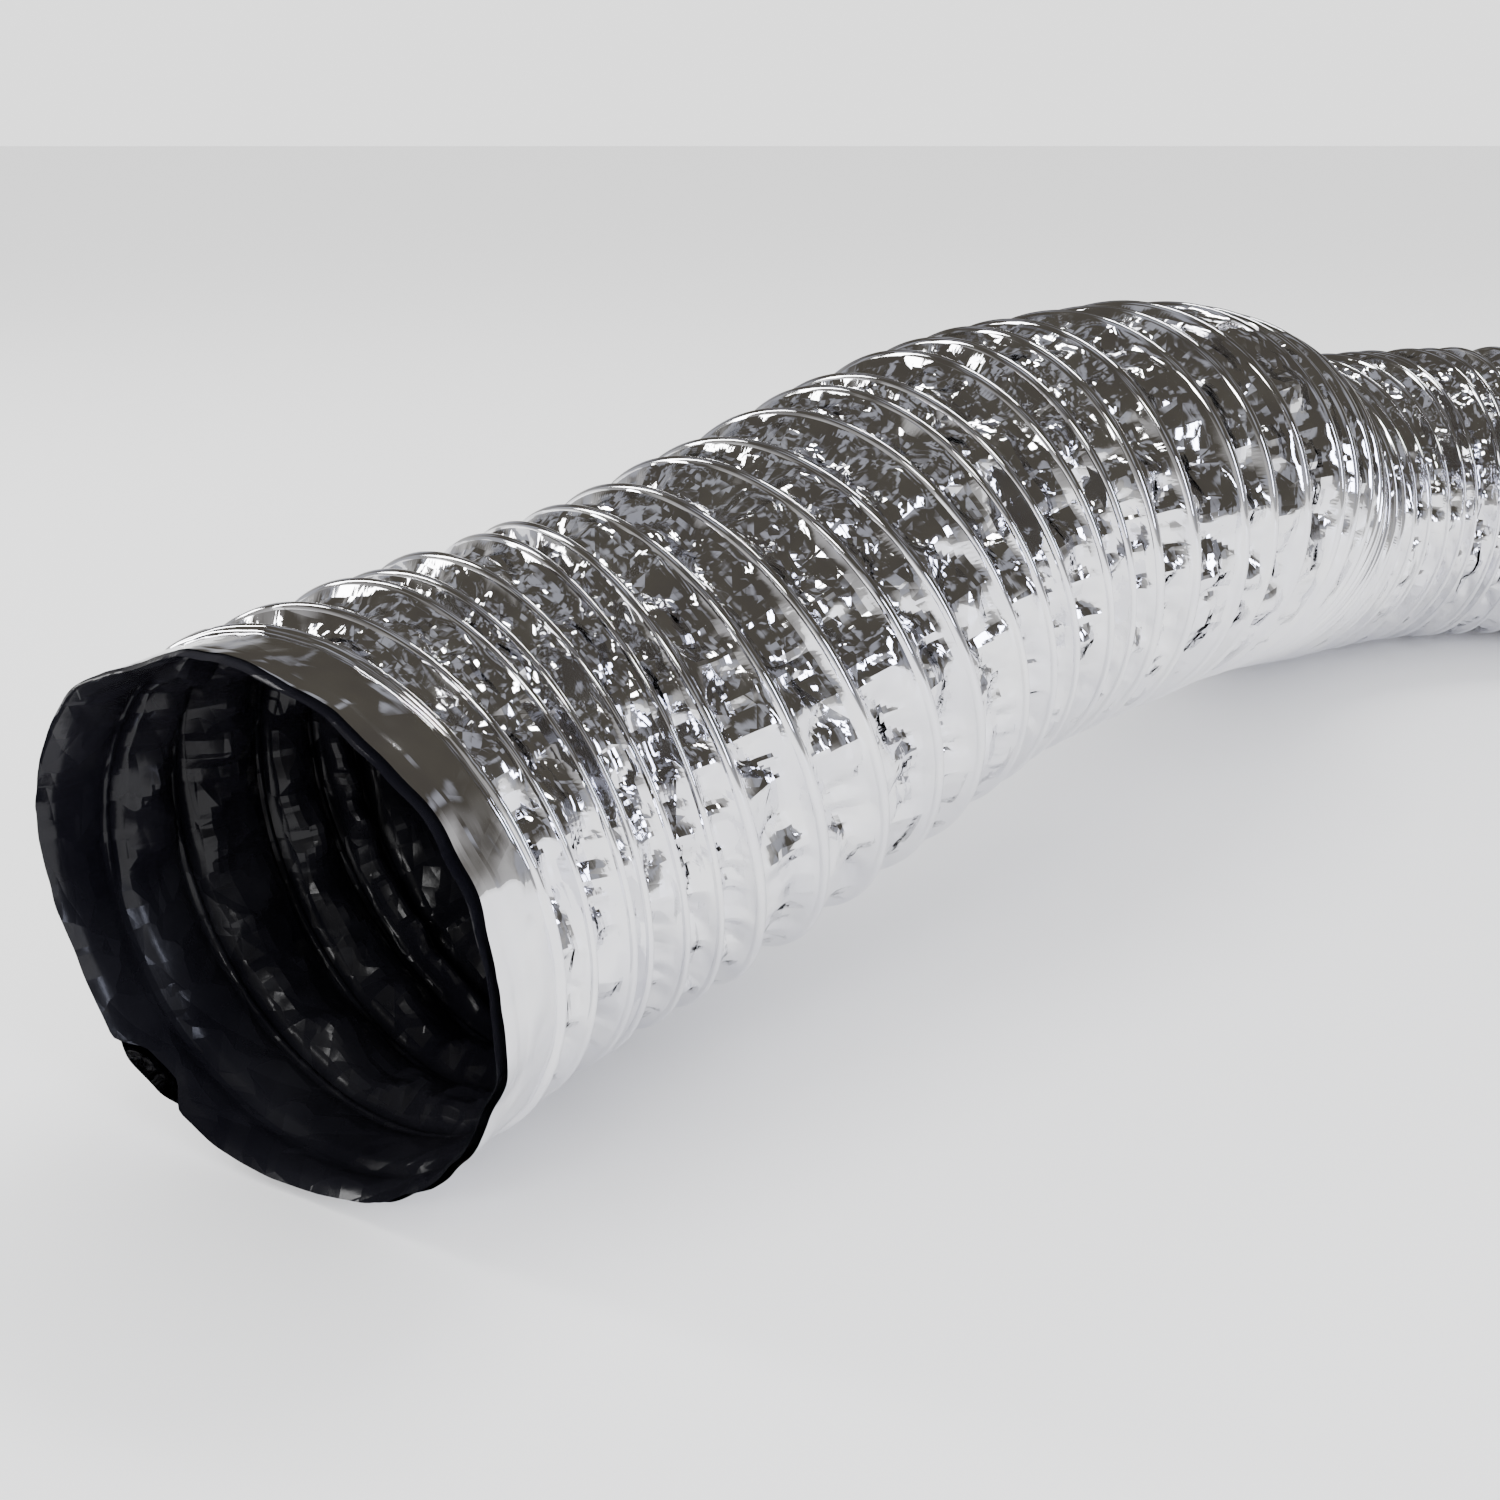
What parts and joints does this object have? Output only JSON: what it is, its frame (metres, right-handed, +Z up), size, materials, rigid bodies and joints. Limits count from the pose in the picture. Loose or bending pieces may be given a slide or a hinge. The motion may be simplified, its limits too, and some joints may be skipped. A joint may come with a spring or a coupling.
{
  "type": "flexible air duct",
  "caption": "Flexible ventilation hose of black film and silver foil over a sprung wire helix, lying in a low arch with a bend.",
  "frame": {"origin": "on the floor below the centre of the duct's bounding box as it lies", "axes": "+Z up; +X along the longest side of the bounding box, from the front mouth towards the far end; +Y towards the far side"},
  "size_m": [0.8092, 0.6111, 0.2083],
  "materials": {
    "foil": "mirror-bright crumpled metallised film",
    "wire": "drawn spring-steel wire",
    "liner": "black wrinkled plastic film"
  },
  "bodies": {
    "section_01": {"foil_sleeve_01": "foil", "wire_coil_01": "wire", "liner_sleeve_01": "liner"},
    "section_02": {"foil_sleeve_02": "foil", "wire_coil_02": "wire", "liner_sleeve_02": "liner"},
    "section_03": {"foil_sleeve_03": "foil", "wire_coil_03": "wire", "liner_sleeve_03": "liner"},
    "section_04": {"foil_sleeve_04": "foil", "wire_coil_04": "wire", "liner_sleeve_04": "liner"},
    "section_05": {"foil_sleeve_05": "foil", "wire_coil_05": "wire", "liner_sleeve_05": "liner"},
    "section_06": {"foil_sleeve_06": "foil", "wire_coil_06": "wire", "liner_sleeve_06": "liner"},
    "section_07": {"foil_sleeve_07": "foil", "wire_coil_07": "wire", "liner_sleeve_07": "liner"},
    "section_08": {"foil_sleeve_08": "foil", "wire_coil_08": "wire", "liner_sleeve_08": "liner"},
    "section_09": {"foil_sleeve_09": "foil", "wire_coil_09": "wire", "liner_sleeve_09": "liner"},
    "section_10": {"foil_sleeve_10": "foil", "wire_coil_10": "wire", "liner_sleeve_10": "liner"},
    "section_11": {"foil_sleeve_11": "foil", "wire_coil_11": "wire", "liner_sleeve_11": "liner"},
    "section_12": {"foil_sleeve_12": "foil", "wire_coil_12": "wire", "liner_sleeve_12": "liner"},
    "section_13": {"foil_sleeve_13": "foil", "wire_coil_13": "wire", "liner_sleeve_13": "liner"},
    "section_14": {"foil_sleeve_14": "foil", "wire_coil_14": "wire", "liner_sleeve_14": "liner"},
    "section_15": {"foil_sleeve_15": "foil", "wire_coil_15": "wire", "liner_sleeve_15": "liner"},
    "section_16": {"foil_sleeve_16": "foil", "wire_coil_16": "wire", "liner_sleeve_16": "liner"},
    "section_17": {"foil_sleeve_17": "foil", "wire_coil_17": "wire", "liner_sleeve_17": "liner"},
    "section_18": {"foil_sleeve_18": "foil", "wire_coil_18": "wire", "liner_sleeve_18": "liner"}
  },
  "joints": [
    {"name": "bend_side_01", "type": "hinge", "parent": "section_01", "child": "section_02", "pos_m": [-0.29823, -0.21199, 0.08094], "axis": [-0.0492, -0.0566, 0.9972], "range_deg": [-7, 17], "deforming": ["foil_sleeve_01", "liner_sleeve_01", "foil_sleeve_02", "liner_sleeve_02"]},
    {"name": "bend_up_02", "type": "hinge", "parent": "section_02", "child": "section_03", "pos_m": [-0.26057, -0.17745, 0.08676], "axis": [0.5878, -0.809, 0], "range_deg": [-13, 10], "deforming": ["foil_sleeve_02", "liner_sleeve_02", "foil_sleeve_03", "liner_sleeve_03"]},
    {"name": "stretch_03", "type": "slide", "parent": "section_03", "child": "section_04", "axis": [0.7357, 0.6395, 0.2232], "range_m": [-0.013, 0.04], "deforming": ["foil_sleeve_03", "liner_sleeve_03", "foil_sleeve_04", "liner_sleeve_04"]},
    {"name": "bend_side_04", "type": "hinge", "parent": "section_04", "child": "section_05", "pos_m": [-0.18809, -0.11422, 0.10702], "axis": [-0.1551, -0.1606, 0.9748], "range_deg": [-11, 11], "deforming": ["foil_sleeve_04", "liner_sleeve_04", "foil_sleeve_05", "liner_sleeve_05"]},
    {"name": "bend_up_05", "type": "hinge", "parent": "section_05", "child": "section_06", "pos_m": [-0.15135, -0.07996, 0.11854], "axis": [0.6428, -0.766, 0], "range_deg": [-11, 14], "deforming": ["foil_sleeve_05", "liner_sleeve_05", "foil_sleeve_06", "liner_sleeve_06"]},
    {"name": "stretch_06", "type": "slide", "parent": "section_06", "child": "section_07", "axis": [0.8238, 0.5557, 0.1123], "range_m": [-0.012, 0.04], "deforming": ["foil_sleeve_06", "liner_sleeve_06", "foil_sleeve_07", "liner_sleeve_07"]},
    {"name": "bend_side_07", "type": "hinge", "parent": "section_07", "child": "section_08", "pos_m": [-0.07397, -0.02054, 0.12933], "axis": [0, 0, 1], "range_deg": [-15, 9], "deforming": ["foil_sleeve_07", "liner_sleeve_07", "foil_sleeve_08", "liner_sleeve_08"]},
    {"name": "bend_up_08", "type": "hinge", "parent": "section_08", "child": "section_09", "pos_m": [-0.03824, 0.01644, 0.12642], "axis": [0.766, -0.6428, 0], "range_deg": [-9, 14], "deforming": ["foil_sleeve_08", "liner_sleeve_08", "foil_sleeve_09", "liner_sleeve_09"]},
    {"name": "stretch_09", "type": "slide", "parent": "section_09", "child": "section_10", "axis": [0.5165, 0.8266, -0.2233], "range_m": [-0.011, 0.04], "deforming": ["foil_sleeve_09", "liner_sleeve_09", "foil_sleeve_10", "liner_sleeve_10"]},
    {"name": "bend_side_10", "type": "hinge", "parent": "section_10", "child": "section_11", "pos_m": [0.01217, 0.09739, 0.10419], "axis": [0.1348, 0.3028, 0.9435], "range_deg": [-10, 11], "deforming": ["foil_sleeve_10", "liner_sleeve_10", "foil_sleeve_11", "liner_sleeve_11"]},
    {"name": "bend_up_11", "type": "hinge", "parent": "section_11", "child": "section_12", "pos_m": [0.03658, 0.14037, 0.08983], "axis": [0.8192, -0.5736, 0], "range_deg": [-14, 8], "deforming": ["foil_sleeve_11", "liner_sleeve_11", "foil_sleeve_12", "liner_sleeve_12"]},
    {"name": "stretch_12", "type": "slide", "parent": "section_12", "child": "section_13", "axis": [0.7499, 0.6519, -0.1124], "range_m": [-0.008, 0.04], "deforming": ["foil_sleeve_12", "liner_sleeve_12", "foil_sleeve_13", "liner_sleeve_13"]},
    {"name": "bend_side_13", "type": "hinge", "parent": "section_13", "child": "section_14", "pos_m": [0.11, 0.20325, 0.079], "axis": [0.0014, 0.001, 1], "range_deg": [-7, 17], "deforming": ["foil_sleeve_13", "liner_sleeve_13", "foil_sleeve_14", "liner_sleeve_14"]},
    {"name": "bend_up_14", "type": "hinge", "parent": "section_14", "child": "section_15", "pos_m": [0.15833, 0.22084, 0.079], "axis": [0.225, -0.9744, 0], "range_deg": [-11, 11], "deforming": ["foil_sleeve_14", "liner_sleeve_14", "foil_sleeve_15", "liner_sleeve_15"]},
    {"name": "stretch_15", "type": "slide", "parent": "section_15", "child": "section_16", "axis": [0.9998, 0.0175, 0], "range_m": [-0.01, 0.04], "deforming": ["foil_sleeve_15", "liner_sleeve_15", "foil_sleeve_16", "liner_sleeve_16"]},
    {"name": "bend_side_16", "type": "hinge", "parent": "section_16", "child": "section_17", "pos_m": [0.25605, 0.22206, 0.079], "axis": [0.0014, 0.001, 1], "range_deg": [-8, 17], "deforming": ["foil_sleeve_16", "liner_sleeve_16", "foil_sleeve_17", "liner_sleeve_17"]},
    {"name": "bend_up_17", "type": "hinge", "parent": "section_17", "child": "section_18", "pos_m": [0.30526, 0.20701, 0.079], "axis": [-0.3907, -0.9205, 0], "range_deg": [-11, 11], "deforming": ["foil_sleeve_17", "liner_sleeve_17", "foil_sleeve_18", "liner_sleeve_18"]}
  ]
}
